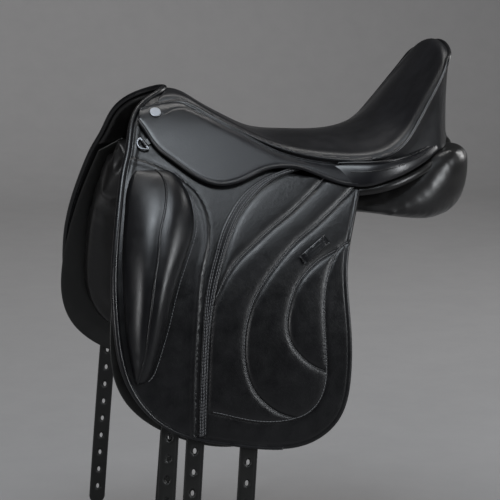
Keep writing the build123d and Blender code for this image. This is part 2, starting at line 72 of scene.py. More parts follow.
# The flap's outer face seen from the front: half width and height, from the head's crest down
SIDE_LINE = [
    (0.5, 62.5), (22, 57.5), (41, 47), (62, 30), (100, -12), (139, -62), (178, -122), (201, -170),
    (219, -225), (229, -280), (239, -360), (245, -440), (250, -540), (252, -700),
]
# Distances of each layer's inner and outer face from the flap's outer face
FLAP, SKIRT, STRAP, SWEAT_FLAP = (-5.0, 0.0), (3.5, 7.5), (-10.0, -6.2), (-14.6, -11.4)
HEAD_LINING, STRIP, KEEPER = (-11.2, -5.6), (0.15, 1.7), (4.9, 6.9)

# The seat: place along X, half width, height of the edge and height of the centre line
SEAT_STATIONS = [
    (-212, 44, 42, 52), (-174, 48, 48, 59.5), (-140, 65, 34, 44), (-100, 86, 13, 22),
    (-50, 106, -9, 1.5), (0, 119, -22, -2.5), (50, 128, -27, -3), (90, 132, -25, 3),
    (122, 126, -12, 18), (150, 113, 18, 46), (175, 100, 54, 77), (198, 87, 89, 106),
    (213, 62, 111, 125), (228, 40, 112, 122),
]
# The seat seen from above: place along X and half width, from the head round to the cantle
SEAT_PLAN = [
    (-205, 46), (-174, 48), (-156, 55), (-128, 72), (-90, 90), (-51, 106), (-11, 117), (29, 125),
    (70, 131.5), (98, 132), (123, 126), (155, 110), (180, 97), (201, 83), (216, 54), (222, 0),
]
SEAT_NOTCH = (-176.0, 0.0)

# Outlines seen from the near side
FLAP_FRONT = [(-188, 61), (-212, 51), (-228, 41), (-242, 24), (-254, -12), (-263.5, -36),
              (-273, -68), (-283, -111), (-292, -170), (-293, -212), (-280, -296), (-253, -339),
              (-211, -369), (-158, -384), (-97, -395), (-35, -392), (7, -362), (24, -309),
              (26, -231), (28, -160), (45.5, -105.5), (59, -72)]
FLAP_TOP = [(59, -72), (54, -60), (20, -53), (-60, -42), (-140, -40), (-168, -35), (-182, -16),
            (-190, 10), (-196, 36), (-192, 49), (-178, 60)]
SKIRT_FRONT = [(-236, 22), (-229, 39)]
SKIRT_TOP = [(-229, 39), (-214, 43), (-192, 46), (-174, 47), (-158, 41),
             (-128, 25), (-90, 5), (-51, -15), (-11, -27), (29, -33), (70, -35), (99, -33)]
SKIRT_LOWER = [(99, -52), (84, -56), (66, -61), (44, -62), (17, -55), (-3, -47), (-23, -40),
               (-45, -37.6), (-72, -41), (-109, -54), (-141, -57), (-166, -48), (-198, -25),
               (-213, -13), (-223, 0), (-230, 13), (-236, 22)]
STRIP_REAR = [(-12, -40), (-43, -47), (-70, -58), (-94, -75), (-113, -94), (-128, -116), (-139, -138),
              (-150, -165), (-159, -193), (-165, -221), (-171, -279), (-173, -310), (-176, -372)]
STRIP_FRONT = [(-187, -372), (-183, -299), (-178, -238), (-171, -188), (-163, -161), (-153, -136),
               (-143, -114), (-129, -93), (-109, -71), (-83, -54), (-50, -42), (-26, -37)]
QUILT_SEAMS = [
    [(17, -51), (-14, -74), (-48, -98), (-72, -113), (-101, -134), (-125, -153), (-145, -177),
     (-160, -203)],
    [(54, -65), (18, -91), (-16, -115), (-39, -130), (-64, -151), (-86, -174), (-103, -197), (-114, -221),
     (-121, -261), (-120, -282), (-105, -323), (-90, -338), (-71, -350), (-51, -356)],
    [(17, -142), (-9, -153), (-30, -168), (-47, -187), (-56, -207), (-61, -225), (-61, -244), (-56, -259),
     (-45, -274), (-30, -287), (-11, -296)],
]
BORDER_SEAM = [(36, -132), (17, -142), (7, -156), (-2, -175), (-8, -199), (-10, -247), (-9, -278),
               (-13, -320), (-22, -338), (-40, -353), (-62, -359), (-91, -360), (-123, -355), (-151, -347),
               (-174, -341)]
KNEE_PAD_SEAM = [(-258, -22), (-244, -24), (-225, -30), (-207, -38), (-186, -51), (-168, -68),
                 (-159, -88), (-157, -110), (-161, -134), (-168, -153), (-178, -198), (-185, -258),
                 (-189, -320), (-190, -374)]
SWEAT_FLAP_EDGE = [
    (-258, -40), (-277, -111), (-291, -180), (-298, -235), (-296, -285), (-283, -320), (-256, -350),
    (-208, -377), (-158, -391), (-110, -390), (-50, -368), (-6, -330), (6, -250), (8, -160), (14, -100),
]
SWEAT_FLAP_TOP = [(14, -66), (-60, -50), (-150, -44), (-225, -20)]

# The knee block: height, then X of its front, ridge and rear, and how far its ridge stands out
KNEE_BLOCK = [
    (-37, -247, -220, -206, 2), (-41, -252, -215, -196, 9), (-51, -258, -212, -187, 16),
    (-66, -264, -214, -180, 22), (-85, -268, -220, -177, 26), (-105, -272, -228, -178, 28),
    (-136, -277, -235, -190, 29), (-165, -279, -242, -204, 28), (-193, -280, -247, -215, 26),
    (-222, -280, -252, -224, 22), (-252, -277, -256, -234, 17), (-277, -273, -261, -243, 11),
    (-292, -270, -265, -251, 5), (-298, -268, -266, -258, 1),
]
KEEPER_CENTRE, KEEPER_SIZE, KEEPER_ANGLE = (-18.5, -138), (46, 12.5), 34.0

# Girth straps: X at the datum height and height of the first hole
STRAP_DATUM, STRAP_LEAN, STRAP_WIDTH, HOLE_PITCH = -372.0, 0.065, 25.0, 28.2
STRAPS = {"front": (-223.5, -372.5), "middle": (-188.6, -393.0), "rear": (-115.3, -413.0)}
STRAP_TOP, HOLE_COUNT, HOLE_HALF_SIZE = -66, 9, (2.25, 3.75)
TIP_BELOW_HOLE, TIP_LENGTH = 16, 12.8


# ---------------------------------------------------------------- curves and flat patterns
def spline(points, step=2.0):
    """A smooth curve through the points, with a point about every step millimetres."""
    knots = np.array(points, float)
    gaps = np.linalg.norm(np.diff(knots, axis=0), axis=1)
    at = np.concatenate([[0], np.cumsum(gaps)])
    count = len(knots)
    matrix = np.eye(count)
    target = np.zeros_like(knots)
    for i in range(1, count - 1):
        matrix[i, i - 1:i + 2] = (gaps[i - 1], 2 * (gaps[i - 1] + gaps[i]), gaps[i])
        target[i] = 6 * ((knots[i + 1] - knots[i]) / gaps[i] - (knots[i] - knots[i - 1]) / gaps[i - 1])
    bend = np.linalg.solve(matrix, target)
    where = np.linspace(0, at[-1], max(3, round(at[-1] / step) + 1))
    span = np.clip(np.searchsorted(at, where, side="right") - 1, 0, count - 2)
    gap = gaps[span][:, None]
    before = (where - at[span])[:, None]
    after = (at[span + 1] - where)[:, None]
    return (
        (bend[span] * after**3 + bend[span + 1] * before**3) / (6 * gap)
        + (knots[span] / gap - bend[span] * gap / 6) * after
        + (knots[span + 1] / gap - bend[span + 1] * gap / 6) * before
    )


def lengths(line):
    """Distance along a line at each of its points."""
    return np.concatenate([[0], np.cumsum(np.linalg.norm(np.diff(line, axis=0), axis=1))])


def evenly(line, step, start=0.0, end=None):
    """Points spaced evenly along a line, from start to end millimetres along it."""
    at = lengths(line)
    end = at[-1] if end is None else end
    where = np.linspace(start, end, max(2, round((end - start) / step) + 1))
    return np.column_stack([np.interp(where, at, column) for column in line.T])


def outline(*curves, step=2.0):
    """A closed outline: curves of more than two points are smooth, and gaps are bridged straight."""
    points = []
    for curve, following in zip(curves, curves[1:] + curves[:1]):
        drawn = spline(curve, step) if len(curve) > 2 else evenly(np.array(curve, float), step)
        points.append(drawn[:-1])
        start = np.array(following[0], float)
        if np.linalg.norm(drawn[-1] - start) > 0.01:
            points.append(evenly(np.array([drawn[-1], start]), step)[:-1])
    return np.concatenate(points)


def polygon(corners, step):
    """A closed outline with straight sides."""
    following = corners[1:] + corners[:1]
    return outline(*[[tuple(a), tuple(b)] for a, b in zip(corners, following)], step=step)


def to_line(points, line, closed=False):
    """How far each point is from a line, in the flat pattern."""
    line = np.vstack([line, line[:1]]) if closed else line
    nearest = np.full(len(points), 1e9)
    for start in range(0, len(points), 2000):
        block = points[start:start + 2000, None, :]
        a, run = line[:-1][None], np.diff(line, axis=0)[None]
        t = ((block - a) * run).sum(2) / np.maximum((run**2).sum(2), 1e-12)
        foot = a + np.clip(t, 0, 1)[..., None] * run
        nearest[start:start + 2000] = np.sqrt(((block - foot) ** 2).sum(2)).min(1)
    return nearest


def inside(points, ring):
    """Which points lie inside a closed outline."""
    a, b = ring, np.roll(ring, -1, axis=0)
    found = np.zeros(len(points), bool)
    for start in range(0, len(points), 4000):
        x, y = points[start:start + 4000, 0:1], points[start:start + 4000, 1:2]
        crosses = (a[:, 1] > y) != (b[:, 1] > y)
        rise = np.where(b[:, 1] == a[:, 1], 1e-9, b[:, 1] - a[:, 1])
        at = a[:, 0] + (y - a[:, 1]) / rise * (b[:, 0] - a[:, 0])
        found[start:start + 4000] = (crosses & (x < at)).sum(1) % 2 == 1
    return found


def beside(line, shift, closed=False):
    """A line moved to its right by shift."""
    if closed:
        run = np.roll(line, -1, axis=0) - np.roll(line, 1, axis=0)
    else:
        run = np.gradient(line, axis=0)
    run /= np.maximum(np.linalg.norm(run, axis=1), 1e-9)[:, None]
    return line + shift * np.column_stack([run[:, 1], -run[:, 0]])


def pattern(ring, spacing, lines=(), holes=()):
    """Triangles that fill an outline, with close rows of points along its edge and beside lines."""
    rows = [beside(ring, side * inset, True) for inset in (0.7, 1.7) for side in (-1, 1)]
    rows += [beside(line, shift) for line in lines for shift in (0, -0.9, 0.9, -2.0, 2.0)]
    detail = np.concatenate(rows)
    detail = detail[inside(detail, ring)]
    detail = detail[to_line(detail, ring, True) > 0.5]
    low, high = ring.min(0), ring.max(0)
    columns = np.arange(low[0], high[0], spacing)
    levels = np.arange(low[1], high[1], spacing * 0.87)
    grid = np.array([(x + spacing / 2 * (i % 2), y) for i, y in enumerate(levels) for x in columns])
    grid = grid[inside(grid, ring)]
    grid = grid[to_line(grid, ring, True) > 1.7 + spacing * 0.4]
    for line in lines:
        grid = grid[to_line(grid, line) > 2.0 + spacing * 0.3]
    inner = np.concatenate([detail, grid])
    for hole in holes:
        inner = inner[~inside(inner, hole)]
        inner = inner[to_line(inner, hole, True) > 0.4]
    _, first = np.unique(np.round(inner / 0.45).astype(int), axis=0, return_index=True)
    inner = inner[np.sort(first)]
    loops = [ring, *holes]
    points = np.concatenate([*loops, inner])
    edges, start = [], 0
    for each in loops:
        count = len(each)
        edges += [(start + i, start + (i + 1) % count) for i in range(count)]
        start += count
    found = delaunay_2d_cdt([Vector(p) for p in points], edges, [], 1, 1e-5)
    flat = np.array([tuple(v) for v in found[0]])
    triangles = np.array(found[2])
    for hole in holes:
        triangles = triangles[~inside(flat[triangles].mean(1), hole)]
    a, b, c = (flat[triangles[:, i]] for i in range(3))
    area = np.cross(b - a, c - a)
    triangles = np.where((area > 0)[:, None], triangles, triangles[:, ::-1])
    triangles = triangles[np.abs(area) > 1e-7]
    used, triangles = np.unique(triangles, return_inverse=True)
    return flat[used], triangles.reshape(-1, 3)


# ---------------------------------------------------------------- surfaces to lay patterns on
SIDE = spline([(-half, height) for half, height in SIDE_LINE], 1.5)
SIDE_RUN = np.gradient(SIDE, axis=0)
SIDE_RUN /= np.linalg.norm(SIDE_RUN, axis=1)[:, None]
SIDE_OUT = np.column_stack([SIDE_RUN[:, 1], -SIDE_RUN[:, 0]])


def on_side(flat, distance=0.0):
    """Near-side points from (X, height), at a distance from the flap's face, and their outward
    directions."""
    line = SIDE + distance * SIDE_OUT
    order = np.argsort(line[:, 1])
    y = np.interp(flat[:, 1], line[order, 1], line[order, 0])
    out = np.column_stack([np.interp(flat[:, 1], line[order, 1], SIDE_OUT[order, i]) for i in (0, 1)])
    out /= np.linalg.norm(out, axis=1)[:, None]
    position = np.column_stack([flat[:, 0], y, flat[:, 1] + SEAT_HEIGHT])
    return position, np.column_stack([np.zeros(len(flat)), out])


STATION = np.array(SEAT_STATIONS, float)
STATION_CURVE = spline(STATION, 1.0)


def seat_level(x, y):
    """Height of the seat's surface over the ground plane."""
    half, edge, centre = (np.interp(x, STATION_CURVE[:, 0], STATION_CURVE[:, i]) for i in (1, 2, 3))
    return centre - (centre - edge) * (y / half) ** 2 + SEAT_HEIGHT


RIM = spline([(x, -half) for x, half in SEAT_PLAN] + [(x, half) for x, half in SEAT_PLAN[-2::-1]], 1.0)
RIM_AT = lengths(RIM) - lengths(RIM)[-1] / 2
RIM_RUN = np.gradient(RIM, axis=0)
RIM_RUN /= np.linalg.norm(RIM_RUN, axis=1)[:, None]
RIM_OUT = np.column_stack([RIM_RUN[:, 1], -RIM_RUN[:, 0]])


def on_seat(flat, distance=0.0):
    """Points over the seat from (X, Y), and their upward directions."""
    x, y = flat.T
    z = seat_level(x, y)
    slope_x = (seat_level(x + 1, y) - z)
    slope_y = (seat_level(x, y + 1) - z)
    up = np.column_stack([-slope_x, -slope_y, np.ones(len(x))])
    up /= np.linalg.norm(up, axis=1)[:, None]
    return np.column_stack([x, y, z]) + distance * up, up


def on_rim(flat, distance=0.0):
    """Points on an upright wall round the seat's edge, from (distance round from the back, height)."""
    xy = np.column_stack([np.interp(flat[:, 0], RIM_AT, RIM[:, i]) for i in (0, 1)])
    out = np.column_stack([np.interp(flat[:, 0], RIM_AT, RIM_OUT[:, i]) for i in (0, 1)])
    out /= np.linalg.norm(out, axis=1)[:, None]
    position = np.column_stack([xy + out * distance, flat[:, 1] + SEAT_HEIGHT])
    return position, np.column_stack([out, np.zeros(len(flat))])


def rim_place(x):
    """How far round the near side's rim lies a place along X."""
    near = RIM_AT < 0
    return float(np.interp(x, RIM[near, 0], RIM_AT[near]))


# ---------------------------------------------------------------- solids
def hide(ring, place, faces, spacing=3.0, lines=(), holes=(), relief=None):
    """A piece of leather cut to an outline: two faces and a rounded edge. Returns its vertices in
    millimetres and its triangles."""
    flat, triangles = pattern(ring, spacing, lines, holes)
    edge = to_line(flat, ring, True)
    for hole in holes:
        edge = np.minimum(edge, to_line(flat, hole, True))
    half = (faces[1] - faces[0]) / 2
    swell = np.sqrt(np.maximum(half**2 - np.clip(half - edge, 0, None) ** 2, 0))
    middle, out = place(flat, (faces[0] + faces[1]) / 2)
    lift = relief(flat) * np.clip(edge / 2.0, 0, 1) if relief else np.zeros(len(flat))
    top = middle + out * (swell + lift)[:, None]
    bottom = middle - out * swell[:, None]
    rim = edge < 1e-3
    index = np.cumsum(~rim) - 1 + len(flat)
    index[rim] = np.nonzero(rim)[0]
    a, b, c = (top[triangles[:, i]] for i in range(3))
    face = np.cross(b - a, c - a)
    if (face * out[triangles[:, 0]]).sum() < 0:
        triangles = triangles[:, ::-1]
    return np.concatenate([top, bottom[~rim]]), np.concatenate([triangles, index[triangles[:, ::-1]]])


def tube(path, radius, sides=10):
    """A round cord along a path of points, with rounded ends. radius may vary along it."""
    path = np.array(path, float)
    radius = np.broadcast_to(np.array(radius, float), (len(path),)).copy()
    run = np.gradient(path, axis=0)
    run /= np.linalg.norm(run, axis=1)[:, None]
    across = np.zeros_like(path)
    guess = np.cross(run[0], (0.3, 0.5, 0.8))
    for i in range(len(path)):
        guess = guess - run[i] * (guess @ run[i])
        guess /= np.linalg.norm(guess)
        across[i] = guess
    up = np.cross(run, across)
    stations = [(0, -0.9, 0.45), (0, -0.6, 0.8)] + [(i, 0, 1) for i in range(len(path))]
    stations += [(-1, 0.6, 0.8), (-1, 0.9, 0.45)]
    angles = np.arange(sides) * 2 * math.pi / sides
    rings = []
    for i, along, share in stations:
        centre = path[i] + run[i] * along * radius[i]
        spoke = np.cos(angles)[:, None] * across[i] + np.sin(angles)[:, None] * up[i]
        rings.append(centre + spoke * radius[i] * share)
    count = len(rings)
    vertices = np.concatenate(rings)
    faces = []
    for i in range(count - 1):
        for j in range(sides):
            k = (j + 1) % sides
            faces.append((i * sides + j, i * sides + k, (i + 1) * sides + k, (i + 1) * sides + j))
    faces.append(tuple(range(sides))[::-1])
    faces.append(tuple((count - 1) * sides + j for j in range(sides)))
    return vertices, faces


def loft(rows, closed=True, caps=True):
    """A solid through rows of points that are all the same count."""
    rows = np.array(rows, float)
    count, width = rows.shape[:2]
    faces = []
    for i in range(count - 1):
        for j in range(width if closed else width - 1):
            k = (j + 1) % width
            faces.append((i * width + j, i * width + k, (i + 1) * width + k, (i + 1) * width + j))
    if caps:
        faces.append(tuple(range(width))[::-1])
        faces.append(tuple((count - 1) * width + j for j in range(width)))
    return rows.reshape(-1, 3), faces


def joined(*solids):
    """Several solids as one mesh."""
    vertices, faces, start = [], [], 0
    for points, polygons in solids:
        vertices.append(points)
        faces += [tuple(int(i) + start for i in polygon) for polygon in polygons]
        start += len(points)
    return np.concatenate(vertices), faces


def mirrored(solid):
    """The off side's copy of a near-side solid."""
    vertices, faces = solid
    return vertices * (1, -1, 1), [tuple(face)[::-1] for face in faces]


STITCH_LENGTH, STITCH_GAP, STITCH_RADIUS = 3.0, 1.3, 0.48


def stitches(line, place, distance, relief=None, step=STITCH_LENGTH + STITCH_GAP):
    """A row of sewn thread along a line of the flat pattern, lying at a distance from the face."""
    at = lengths(line)[-1]
    solids = []
    for count in range(int(at / step)):
        start = count * step + STITCH_GAP / 2
        flat = evenly(line, STITCH_LENGTH / 2, start, start + STITCH_LENGTH)[:3]
        height = distance + (relief(flat) if relief else np.zeros(len(flat)))
        position, out = place(flat, 0.0)
        humps = height + np.array([-0.1, STITCH_RADIUS, -0.1])
        solids.append(tube(position + out * humps[:, None], STITCH_RADIUS, 6))
    return joined(*solids)


# ---------------------------------------------------------------- materials
def socket_links(material):
    tree = material.node_tree
    return tree, tree.nodes, tree.links


def node(nodes, kind, **values):
    made = nodes.new(kind)
    for name, value in values.items():
        if name in made.inputs:
            made.inputs[name].default_value = value
        else:
            setattr(made, name, value)
    return made


def surface(name, low, high, roughness, grain=0.0, depth=0.0, kind="leather", **constants):
    """A finish with colour that drifts between low and high, roughness between two values, and a
    grain of that many millimetres and depth."""
    material = bpy.data.materials.new(name)
    material.use_nodes = True
    tree, nodes, links = socket_links(material)
    shader = nodes["Principled BSDF"]
    for socket, value in constants.items():
        shader.inputs[socket.replace("_", " ")].default_value = value
    place = nodes.new("ShaderNodeTexCoord").outputs["Object"]
    drift = node(nodes, "ShaderNodeTexNoise", Scale=14.0, Detail=6.0, Roughness=0.6)
    colour = nodes.new("ShaderNodeValToRGB")
    colour.color_ramp.elements[0].position = 0.3
    colour.color_ramp.elements[1].position = 0.72
    colour.color_ramp.elements[0].color = (*low, 1)
    colour.color_ramp.elements[1].color = (*high, 1)
    gloss = node(nodes, "ShaderNodeMapRange")
    gloss.inputs["From Min"].default_value = 0.3
    gloss.inputs["From Max"].default_value = 0.7
    gloss.inputs["To Min"].default_value, gloss.inputs["To Max"].default_value = roughness
    patches = node(nodes, "ShaderNodeTexNoise", Scale=55.0, Detail=4.0, Roughness=0.55)
    links.new(place, drift.inputs["Vector"])
    links.new(place, patches.inputs["Vector"])
    links.new(drift.outputs["Fac"], colour.inputs["Fac"])
    links.new(patches.outputs["Fac"], gloss.inputs["Value"])
    links.new(colour.outputs["Color"], shader.inputs["Base Color"])
    links.new(gloss.outputs["Result"], shader.inputs["Roughness"])
    if grain:
        bump = node(nodes, "ShaderNodeBump", Strength=depth, Distance=0.0006)
        if kind == "leather":
            cells = node(nodes, "ShaderNodeTexVoronoi", feature="DISTANCE_TO_EDGE", Scale=1000 / grain)
            height = cells.outputs["Distance"]
        elif kind == "weave":
            cells = node(nodes, "ShaderNodeTexWave", Scale=1000 / grain / 6.3, Distortion=1.5)
            height = cells.outputs["Fac"]
        else:
            cells = node(nodes, "ShaderNodeTexNoise", Scale=1000 / grain, Detail=5.0)
            height = cells.outputs["Fac"]
        links.new(place, cells.inputs["Vector"])
        creases = node(nodes, "ShaderNodeTexNoise", Scale=180.0, Detail=5.0, Distortion=0.8)
        links.new(place, creases.inputs["Vector"])
        total = node(nodes, "ShaderNodeMath", operation="MULTIPLY_ADD")
        total.inputs[1].default_value = 0.6
        links.new(height, total.inputs[0])
        links.new(creases.outputs["Fac"], total.inputs[2])
        links.new(total.outputs[0], bump.inputs["Height"])
        links.new(bump.outputs["Normal"], shader.inputs["Normal"])
    return material


SEAT_LEATHER = surface("seat_leather", (0.007, 0.007, 0.008), (0.012, 0.012, 0.014), (0.30, 0.38),
                       1.4, 0.14)
SKIRT_LEATHER = surface("skirt_leather", (0.006, 0.006, 0.007), (0.010, 0.010, 0.012), (0.28, 0.36),
                        1.2, 0.12)
FLAP_LEATHER = surface("flap_leather", (0.003, 0.003, 0.0035), (0.006, 0.006, 0.007), (0.30, 0.42),
                       1.3, 0.38)
BLOCK_LEATHER = surface("block_leather", (0.004, 0.004, 0.005), (0.008, 0.008, 0.009), (0.29, 0.38),
                        1.2, 0.16)
TRIM_LEATHER = surface("trim_leather", (0.004, 0.004, 0.005), (0.008, 0.008, 0.009), (0.26, 0.34),
                       0.9, 0.10)
PANEL_LEATHER = surface("panel_leather", (0.005, 0.005, 0.005), (0.010, 0.009, 0.009), (0.28, 0.36),
                        1.6, 0.16)
STRAP_LEATHER = surface("strap_leather", (0.005, 0.005, 0.005), (0.010, 0.010, 0.009), (0.36, 0.48),
                        1.1, 0.20)
# Stitch thread: its own dark grey is lightened to a mid grey, so part of this colour is painted sheen that
# makes the stitches show as light dots.
THREAD_WITH_PAINTED_SHEEN = surface("thread", (0.10, 0.10, 0.105), (0.18, 0.18, 0.185), (0.45, 0.6), 0.5, 0.3, "weave")
FOAM = surface("foam", (0.30, 0.25, 0.12), (0.42, 0.36, 0.20), (0.8, 0.95), 2.5, 0.5, "foam")
WEBBING = surface("webbing", (0.20, 0.18, 0.14), (0.30, 0.27, 0.22), (0.7, 0.85), 1.2, 0.6, "weave")
WOOD = surface("laminated_wood", (0.030, 0.017, 0.010), (0.050, 0.029, 0.017), (0.45, 0.6),
               4.0, 0.3, "foam")
STEEL = surface("steel", (0.28, 0.28, 0.29), (0.40, 0.40, 0.41), (0.28, 0.42),
                1.0, 0.06, "foam", Metallic=1.0)
NICKEL = surface("nickel", (0.24, 0.25, 0.27), (0.36, 0.37, 0.39), (0.34, 0.46),
                 1.5, 0.03, "foam", Metallic=1.0)


# ---------------------------------------------------------------- pieces
def piece(name, solid, material, body="root", replaces=(), bend=None):
    """One object of the model, from a solid in millimetres."""
    vertices, faces = solid
    mesh = bpy.data.meshes.new(name)
    mesh.from_pydata((np.array(vertices) * MM).tolist(), [], [tuple(map(int, face)) for face in faces])
    mesh.polygons.foreach_set("use_smooth", [True] * len(mesh.polygons))
    mesh.materials.append(material)
    mesh.validate()
    mesh.update()
    made = bpy.data.objects.new(name, mesh)
    bpy.context.scene.collection.objects.link(made)
    if bend:
        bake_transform(made)
    else:
        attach(made, body)
    if replaces:
        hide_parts(*replaces)
    return made


def bend_at(joint_name, above, below):
    """Where leather starts and ends to bend about a joint, a few millimetres above and below it."""
    joint = JOINTS[joint_name]
    axis = Vector(joint["axis"]).normalized()
    down = Vector((0, 0, -1))
    down = (down - axis * down.dot(axis)).normalized()
    centre = Vector(joint["pos_m"])
    return centre - down * above * MM, centre + down * below * MM


def pair(name, solid, material, body="root", replaces=(), fold=None, sides=SIDES):
    """A near-side piece and its mirror image. fold is (joint, above, below) for a piece over a fold: such a
    piece is left in world space and not attached to a body.
    """
    vertices, faces = solid
    made = []
    for side, sign in sides:
        points = np.array(vertices) * (1, sign, 1)
        polygons = faces if sign > 0 else [tuple(face)[::-1] for face in faces]
        on_body = body if body == "root" else f"{side}_{body}"
        bend = bend_at(f"{side}_{fold[0]}", *fold[1:]) if fold else None
        nodes = [f"{side}_{node_name}" for node_name in replaces]
        made.append(piece(f"{side}_{name}", (points, polygons), material, on_body, nodes, bend))
    return made


FLAP_FOLD = ("flap_fold", 9, 11)
SKIRT_FOLD = ("skirt_fold", 5, 9)


def bell(distance, width):
    return np.exp(-((distance / width) ** 2))


def step_up(value, start, end):
    t = np.clip((value - start) / (end - start), 0, 1)
    return t * t * (3 - 2 * t)


# Seat
seat_ring = outline([tuple(p) for p in evenly(RIM, 8.0)], [tuple(RIM[-1]), SEAT_NOTCH], step=3.0)


def seat_relief(flat):
    """The rim rolls over, and a shallow channel runs beside its piping."""
    edge = to_line(flat, evenly(RIM, 4.0))
    return -3.2 * bell(edge, 5.0) + 1.3 * bell(edge - 15, 9.0)


def rim_level(at):
    x, y = (np.interp(at, RIM_AT, RIM[:, i]) for i in (0, 1))
    return seat_level(x, y) - SEAT_HEIGHT


SIDE_WALL = (1.5, 19.0)
wall_at = np.arange(RIM_AT[0] + 1, rim_place(108), 3.0)
wall_top = np.column_stack([wall_at, rim_level(wall_at) - SIDE_WALL[0]])
wall_x = np.interp(wall_at, RIM_AT, RIM[:, 0])
wall_depth = SIDE_WALL[1] - 11.0 * step_up(wall_x, -135, -115) * (1 - step_up(wall_x, -35, -15))
wall_low = np.column_stack([wall_at, rim_level(wall_at) - wall_depth])[::-1]
near_wall = hide(outline([tuple(p) for p in wall_top], [tuple(p) for p in wall_low], step=3.0),
                 on_rim, (-3.0, -0.6), 5.0)
seat_top = hide(seat_ring, on_seat, (-2.5, 0), 4.0, relief=seat_relief)
seat = piece("seat_cover_leather", joined(seat_top, near_wall, mirrored(near_wall)), SEAT_LEATHER,
             replaces=["seat_cover"])

foam_rim = beside(RIM[32:-32], -11.0)
foam_front = [tuple(foam_rim[-1]), (-165.0, 0.0)]
foam_ring = outline([tuple(p) for p in evenly(foam_rim, 10.0)], foam_front, step=5.0)
foam = piece("seat_foam_pad", hide(foam_ring, on_seat, (-17.0, -3.6), 8.0), FOAM,
             replaces=["seat_foam"])


# Webs of the seat: place, size and faces of each; two run lengthways over two across
UPPER_WEB, LOWER_WEB = (-19.6, -18.0), (-21.3, -19.7)
SEAT_WEBS = [
    (10, -24, 250, 30, UPPER_WEB), (10, 24, 250, 30, UPPER_WEB),
    (-30, 0, 38, 190, LOWER_WEB), (60, 0, 38, 210, LOWER_WEB),
]
CORNERS = ((-1, -1), (1, -1), (1, 1), (-1, 1))
webs = []
for x, y, length, width, faces in SEAT_WEBS:
    web_corners = [(x + a * length / 2, y + b * width / 2) for a, b in CORNERS]
    webs.append(hide(polygon(web_corners, 4.0), on_seat, faces, 6.0))
piece("seat_webbing", joined(*webs), WEBBING, replaces=["seat_webs"])


def rim_path(start, end, out, drop, step=2.0):
    """A path round the seat's edge between two places along it."""
    where = np.arange(start, end, step)
    flat = np.column_stack([np.interp(where, RIM_AT, RIM[:, i]) for i in (0, 1)])
    side = np.column_stack([np.interp(where, RIM_AT, RIM_OUT[:, i]) for i in (0, 1)])
    level = seat_level(flat[:, 0], flat[:, 1]) - drop
    return np.column_stack([flat + side * out, level])


BINDING_START = rim_place(80)
near_piping = tube(rim_path(RIM_AT[0] + 2, BINDING_START - 1, 0.8, 2.6), 2.3)
piece("seat_piping_cord", joined(near_piping, mirrored(near_piping)), TRIM_LEATHER,
      replaces=["seat_piping"])
piece("cantle_binding_cord", tube(rim_path(BINDING_START, -BINDING_START, 0.6, 1.6), 2.7),
      TRIM_LEATHER, replaces=["cantle_binding"])

# Cantle: the facing at the back, with two upright seams, and the skirt round its foot
FACING_FOOT = spline([(101, -50), (123, -44), (155, -34), (190, -26), (226, -14)])
FACING_START = rim_place(103)


def facing_foot(where):
    x = np.interp(-np.abs(where), RIM_AT, RIM[:, 0])
    return np.interp(x, FACING_FOOT[:, 0], FACING_FOOT[:, 1])


facing_at = np.linspace(FACING_START, -FACING_START, 160)
rim_x = np.interp(facing_at, RIM_AT, RIM[:, 0])
rim_y = np.interp(facing_at, RIM_AT, RIM[:, 1])
facing_top = np.column_stack([facing_at, seat_level(rim_x, rim_y) - SEAT_HEIGHT - 2.6])
facing_low = np.column_stack([facing_at, facing_foot(facing_at)])[::-1]
facing_seams = [np.array([(at, height) for height in np.arange(-30.0, 126.0, 2.5)]) for at in (-22.0, 22.0)]


def facing_relief(flat):
    top = np.interp(flat[:, 0], facing_at, facing_top[:, 1])
    low = facing_foot(flat[:, 0])
    share = np.clip((flat[:, 1] - low) / np.maximum(top - low, 1), 0, 1)
    seam = np.min([to_line(flat, line) for line in facing_seams], axis=0)
    return -2.4 * np.sin(math.pi * share) - 0.7 * bell(seam, 1.0)


facing_ring = outline([tuple(p) for p in facing_top], [tuple(p) for p in facing_low], step=3.0)
piece("cantle_facing_leather",
      hide(facing_ring, on_rim, (-4.0, 0.0), 4.0, lines=facing_seams, relief=facing_relief),
      SEAT_LEATHER, replaces=["cantle_facing"])

# The rear skirt carries on from the skirt in one sweep to the back, with a welt at its top, a cord
# below it and the panel's roll under its edge: outer edges at the top and the foot
REAR_START = 18.0
start_top, start_foot = (on_side(np.array([(REAR_START, level)]), 6.6)[0][0] - (0, 0, SEAT_HEIGHT)
                         for level in (-33, -54))
REAR_TOP = [tuple(start_top), (45, -131, -32), (70, -137, -32), (96, -138, -31), (123, -130, -28),
            (155, -111.5, -22), (188, -83, -13), (213, -47, -5), (222, 0, -1)]
REAR_FOOT = [tuple(start_foot), (44, -146.5, -61), (66, -150, -62), (96, -147, -57), (130, -137, -47),
             (166, -115, -34), (198, -82, -22), (222, -42, -13), (230, 0, -10)]
REAR_ROLL = [(44, -138, -72), (70, -141, -70), (96, -141, -66), (130, -131, -57), (166, -110, -45),
             (198, -78, -33), (224, -40, -24), (234, 0, -20)]
rear_top, rear_foot = (evenly(spline(line), 2.5) for line in (REAR_TOP, REAR_FOOT))
foot_shares = lengths(rear_foot) / lengths(rear_foot)[-1]
top_shares = np.linspace(0, 1, len(rear_top))
rear_foot = np.column_stack([np.interp(top_shares, foot_shares, column) for column in rear_foot.T])
rear_shares = np.linspace(0, 1, 13)


def rear_outer(share, sunk=0.0):
    """A line of the rear skirt's outer face, between its top and its foot."""
    down = rear_foot - rear_top
    out = np.cross(np.gradient(rear_top, axis=0), down)
    out /= np.linalg.norm(out, axis=1)[:, None]
    out *= np.where((out * rear_top).sum(1) > 0, 1, -1)[:, None]
    begins = step_up(lengths(rear_top), 0, 60)[:, None]
    fullness = 3.2 * math.sin(math.pi * share**0.8) * begins - sunk - 2.2 * (1 - begins)
    return rear_top + down * share + out * fullness + (0, 0, SEAT_HEIGHT)


